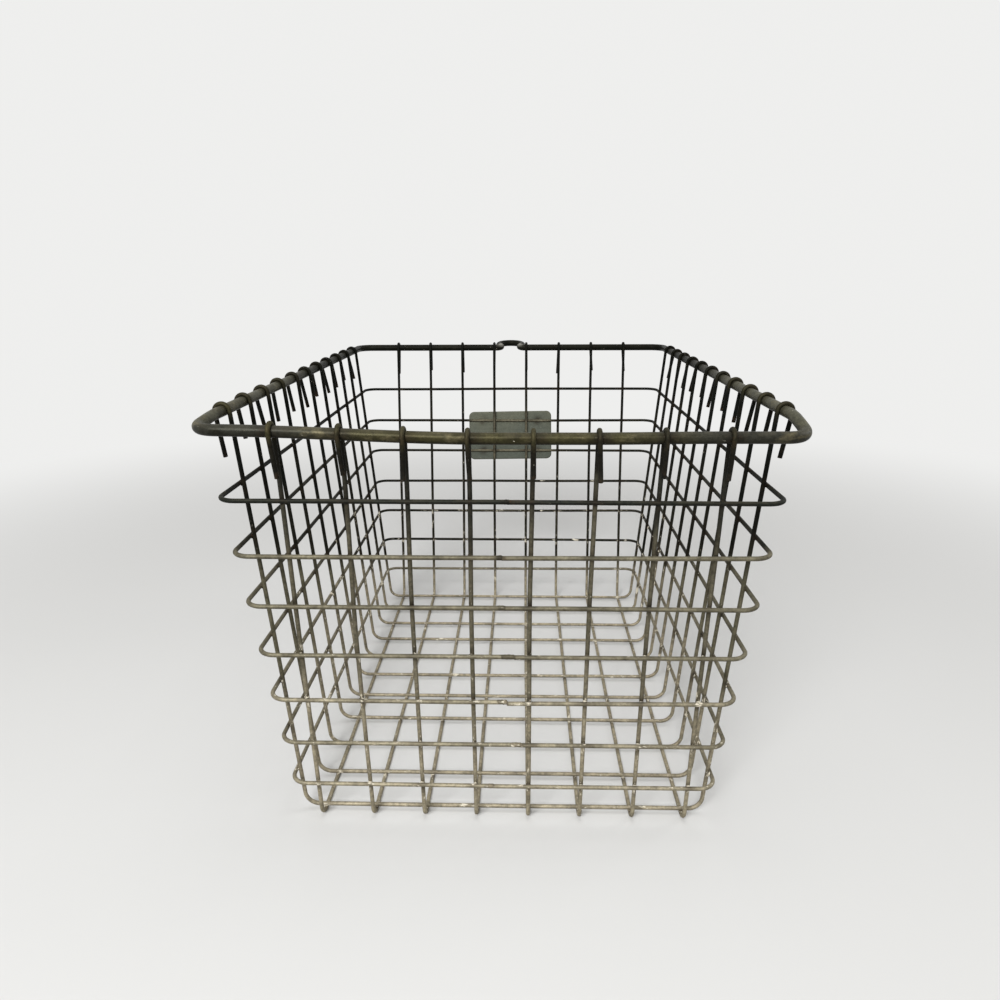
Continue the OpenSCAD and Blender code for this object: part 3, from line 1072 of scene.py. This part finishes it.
def plate_loop(inset):
    """The plate's outline, brought in on all sides."""
    radius = max(PLATE_CORNER_R - inset, PLATE_LEAST_R)
    half_x = PLATE_W / 2 - inset - radius
    half_z = PLATE_H / 2 - inset - radius
    centres = ((half_x, half_z), (-half_x, half_z), (-half_x, -half_z), (half_x, -half_z))

    def round_a_corner(k, turns):
        a = math.pi / 2 * turns
        return centres[k % 4][0] + radius * math.cos(a), centres[k % 4][1] + radius * math.sin(a)

    points = []
    for k in range(4):
        points += [round_a_corner(k, k + i / CORNER_STEPS) for i in range(CORNER_STEPS)]
        x0, z0 = round_a_corner(k, k + 1)
        x1, z1 = round_a_corner(k + 1, k + 1)
        steps = (LONG_STEPS, SHORT_STEPS)[k % 2]
        for i in range(steps):
            points.append((x0 + (x1 - x0) * i / steps, z0 + (z1 - z0) * i / steps))
    return points


def face_height(x, dz, side, spots):
    """How far the plate's outer or inner face stands from its middle plane."""
    if side < 0:
        return -PLATE_T / 2
    dent = 0.0
    for cx, cz in spots:
        r = math.hypot(x - cx, dz - cz)
        dent -= DIMPLE_DEPTH * math.exp(-(r / DIMPLE_R) ** 4)
        dent += LIP_HEIGHT * math.exp(-((r - LIP_R) / LIP_WIDTH) ** 2)
    return PLATE_T / 2 + dent - PLATE_CROWN * (x / (PLATE_W / 2)) ** 2


def number_plate(name):
    """Sheet metal with rounded corners and softened edges, a slight crown and four dimples."""
    angle = wall_angle(ENDS) - math.pi / 2
    twist = math.radians(PLATE_TWIST)
    reach = PLATE_H / 2 - PLATE_CORE
    loops = [(reach - k * PLATE_STEP, 0.0) for k in range(int(reach / PLATE_STEP))]
    for k in range(EDGE_STEPS + 1):
        a = math.pi / 2 * k / EDGE_STEPS
        loops.append((PLATE_EDGE * (1 - math.sin(a)), PLATE_EDGE * (1 - math.cos(a))))
    # Each loop of the profile is its inset, its face and its drop from that face
    profile = [(inset, 1, drop) for inset, drop in loops]
    profile += [(inset, -1, drop) for inset, drop in reversed(loops)]
    spots = [(x, dz) for x in (-SPOT_X, SPOT_X) for dz in (-RING_RISE / 2, RING_RISE / 2)]
    lean = Vector((0, math.cos(angle), math.sin(angle)))
    up = Vector((0, -math.sin(angle), math.cos(angle)))
    right = Vector((1, 0, 0))
    middle = Vector((0, ring_half(ENDS, PLATE_Z), PLATE_Z))
    middle += lean * (WIRE_D / 2 - WELD_DEPTH + PLATE_T / 2)
    verts, count = [], len(plate_loop(0))
    for inset, side, drop in profile:
        for x, dz in plate_loop(inset):
            y = face_height(x, dz, side, spots) - side * drop
            xr = x * math.cos(twist) - dz * math.sin(twist)
            zr = x * math.sin(twist) + dz * math.cos(twist)
            verts.append(middle + right * xr + up * zr + lean * y)
    mesh = mesh_of(name, verts, skin(len(profile), count))
    points = points_of(mesh)
    halo = np.zeros(len(verts))
    for cx, cz in spots:
        gaps = np.linalg.norm(points - np.array(middle + right * cx + up * cz), axis=1)
        halo = np.maximum(halo, np.exp(-(gaps / HALO_R) ** 2))
    edge = np.repeat([math.exp(-inset / EDGE_WEAR_FADE) for inset, side, drop in profile], count)
    write_marks(mesh, points, cut=edge * EDGE_WEAR, weld=halo, tone=PLATE_TONE_SHIFT)
    add_piece(name, mesh, plate_finish, "number_plate")


number_plate("number_plate_sheet")

# The floor keeps the shadow near the basket and runs out into the pale background
PALE = (0.86, 0.86, 0.85, 1)
FLOOR_REACH = 30.0
FLOOR_LIT, FLOOR_SEEN = (0.30, 0.29, 0.27, 1), (0.70, 0.70, 0.69, 1)
FLOOR_ROUGHNESS, FLOOR_GLOSS = 0.9, 0.1
FLOOR_FADE = (0.32, 0.95)
FILL, FILL_STRENGTH = (1.0, 0.985, 0.95, 1), 0.2

quarters = ((-1, -1), (1, -1), (1, 1), (-1, 1))
floor_corners = [(x * FLOOR_REACH, y * FLOOR_REACH, 0) for x, y in quarters]
floor_mesh = mesh_of("stage_floor", floor_corners, [(0, 1, 2, 3)])
floor = bpy.data.objects.new("stage_floor", floor_mesh)
bpy.context.scene.collection.objects.link(floor)


def seen_ray(nodes, links):
    """1 for a ray that shows the background: straight from the camera, in a reflection or
    through glass."""
    ray = nodes.new("ShaderNodeLightPath")
    total = ray.outputs["Is Camera Ray"]
    for name in ("Is Glossy Ray", "Is Transmission Ray"):
        node = nodes.new("ShaderNodeMath")
        node.operation = "MAXIMUM"
        links.new(total, node.inputs[0])
        links.new(ray.outputs[name], node.inputs[1])
        total = node.outputs[0]
    return total


t = Tree("stage_pale")
seen = seen_ray(t.nodes, t.links)
t.put(t.shader.inputs["Base Color"], t.mix(seen, FLOOR_LIT, FLOOR_SEEN))
t.put(t.shader.inputs["Roughness"], FLOOR_ROUGHNESS)
t.put(t.shader.inputs["Specular IOR Level"], FLOOR_GLOSS)
distance = t.new("VectorMath")
distance.operation = "LENGTH"
t.links.new(t.new("TexCoord").outputs["Object"], distance.inputs[0])
far = t.ramp(distance.outputs["Value"], *FLOOR_FADE)
plain = t.new("Emission")
plain.inputs["Color"].default_value = PALE
both = t.new("MixShader")
t.links.new(t.times(far, seen), both.inputs[0])
t.links.new(t.shader.outputs["BSDF"], both.inputs[1])
t.links.new(plain.outputs[0], both.inputs[2])
t.links.new(both.outputs[0], t.out.inputs["Surface"])
floor_mesh.materials.append(t.material)

world = bpy.data.worlds.new("studio")
bpy.context.scene.world = world
world.use_nodes = True
nodes, links = world.node_tree.nodes, world.node_tree.links
nodes.clear()
backdrop = nodes.new("ShaderNodeBackground")
backdrop.inputs["Color"].default_value = PALE
backdrop.inputs["Strength"].default_value = 1.0
fill = nodes.new("ShaderNodeBackground")
fill.inputs["Color"].default_value = FILL
fill.inputs["Strength"].default_value = FILL_STRENGTH
both = nodes.new("ShaderNodeMixShader")
links.new(seen_ray(nodes, links), both.inputs[0])
links.new(fill.outputs[0], both.inputs[1])
links.new(backdrop.outputs[0], both.inputs[2])
out = nodes.new("ShaderNodeOutputWorld")
links.new(both.outputs[0], out.inputs["Surface"])


def softbox(name, place, target, size, watts):
    lamp = bpy.data.lights.new(name, "AREA")
    lamp.shape = "RECTANGLE"
    lamp.size, lamp.size_y = size
    lamp.energy = watts
    holder = bpy.data.objects.new(name, lamp)
    bpy.context.scene.collection.objects.link(holder)
    holder.location = place
    holder.rotation_euler = (Vector(target) - Vector(place)).to_track_quat("-Z", "Y").to_euler()


softbox("key_light", place=(-0.42, -1.50, 1.15), target=(0, 0, 0.12), size=(0.9, 0.7), watts=36)
softbox("top_light", place=(0.0, -0.1, 1.9), target=(0, 0, 0.1), size=(1.4, 1.4), watts=11)
softbox("side_light", place=(1.7, 0.5, 1.0), target=(0, 0, 0.1), size=(0.8, 0.8), watts=6)

# The camera stands where the photograph's camera stood, from a fit to the wires' crossings
CAMERA_PLACE = (0.00885, -0.44028, 0.25784)
CAMERA_YAW, CAMERA_PITCH, CAMERA_ROLL = (math.radians(a) for a in (-1.697, 16.83, -0.3))
FOCAL_PIXELS = 745.0
IMAGE_PIXELS = 1000
SENSOR_MM = 36
NEAREST_SEEN = 0.01
camera_data = bpy.data.cameras.new("camera")
camera_data.sensor_width = SENSOR_MM
camera_data.lens = FOCAL_PIXELS / IMAGE_PIXELS * SENSOR_MM
camera_data.clip_start = NEAREST_SEEN
camera = bpy.data.objects.new("camera", camera_data)
bpy.context.scene.collection.objects.link(camera)
ahead = Vector((
    math.sin(CAMERA_YAW) * math.cos(CAMERA_PITCH),
    math.cos(CAMERA_YAW) * math.cos(CAMERA_PITCH),
    -math.sin(CAMERA_PITCH),
))
level = Vector((math.cos(CAMERA_YAW), -math.sin(CAMERA_YAW), 0))
upward = level.cross(ahead)
right = level * math.cos(CAMERA_ROLL) + upward * math.sin(CAMERA_ROLL)
up = upward * math.cos(CAMERA_ROLL) - level * math.sin(CAMERA_ROLL)
turn = Matrix((right, up, -ahead)).transposed().to_4x4()
turn.translation = Vector(CAMERA_PLACE)
camera.matrix_world = turn
bpy.context.scene.camera = camera
bpy.context.scene.view_settings.view_transform = "Standard"
